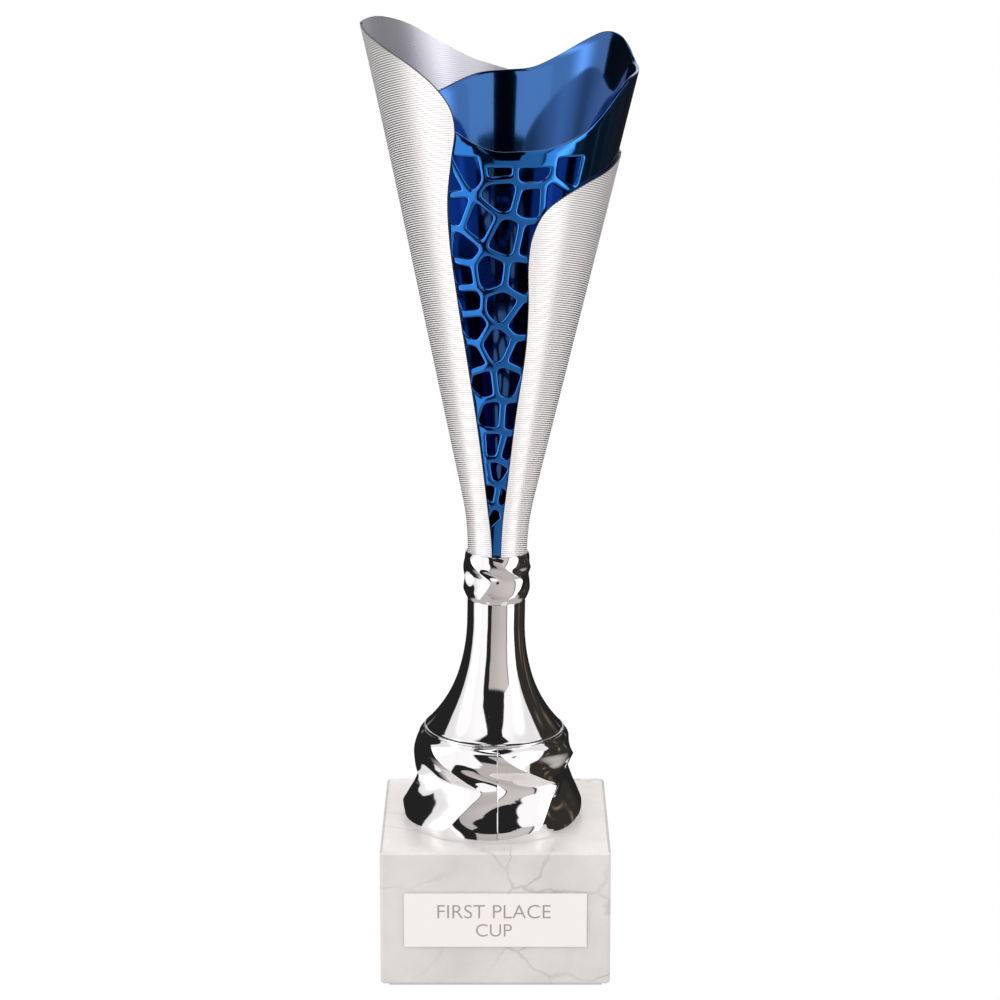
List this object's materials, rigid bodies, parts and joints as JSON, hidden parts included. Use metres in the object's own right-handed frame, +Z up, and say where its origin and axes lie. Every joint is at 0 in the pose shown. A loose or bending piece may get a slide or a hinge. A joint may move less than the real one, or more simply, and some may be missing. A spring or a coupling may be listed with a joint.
{
  "type": "column trophy",
  "caption": "Tall conical trophy cup: ribbed silver sheet wrapped round a blue pierced liner, on a flared chrome stem, a wavy chrome foot and a marble block.",
  "frame": {"origin": "middle of the underside, where the felt pad rests on the table; the block is centred on it", "axes": "+Z up along the trophy, -Y the front with the engraving plate and the open side of the wrap, +X to the viewer's right, towards which the cup leans 1.06 degrees"},
  "size_m": [0.0768, 0.0703, 0.2716],
  "materials": {
    "marble": "polished white marble with faint grey veins",
    "felt": "pale grey felt",
    "tape": "foam tape",
    "plate": "satin off-white engraving sheet",
    "chrome_foot": "mirror chrome plate on plastic",
    "chrome_stem": "mirror chrome plate on plastic",
    "chrome_collar": "mirror chrome plate on plastic",
    "bush_plastic": "black moulded plastic",
    "blue_lacquer": "blue metallised plastic, glossy",
    "ribbed_silver": "bright silver sheet with fine rolled ribs",
    "zinc_steel": "bright zinc",
    "rod_steel": "bright zinc, threaded"
  },
  "bodies": {
    "root": {"marble_plinth": "marble", "felt_pad": "felt", "plate_tape": "tape", "engraving_plate": "plate", "wave_foot": "chrome_foot", "flared_stem": "chrome_stem", "neck_bush": "bush_plastic", "wave_collar": "chrome_collar", "blue_liner": "blue_lacquer", "silver_wrap": "ribbed_silver", "base_washer": "zinc_steel", "base_nut": "zinc_steel", "cup_washer": "zinc_steel", "cup_nut": "zinc_steel", "tie_rod": "rod_steel"}
  },
  "joints": []
}
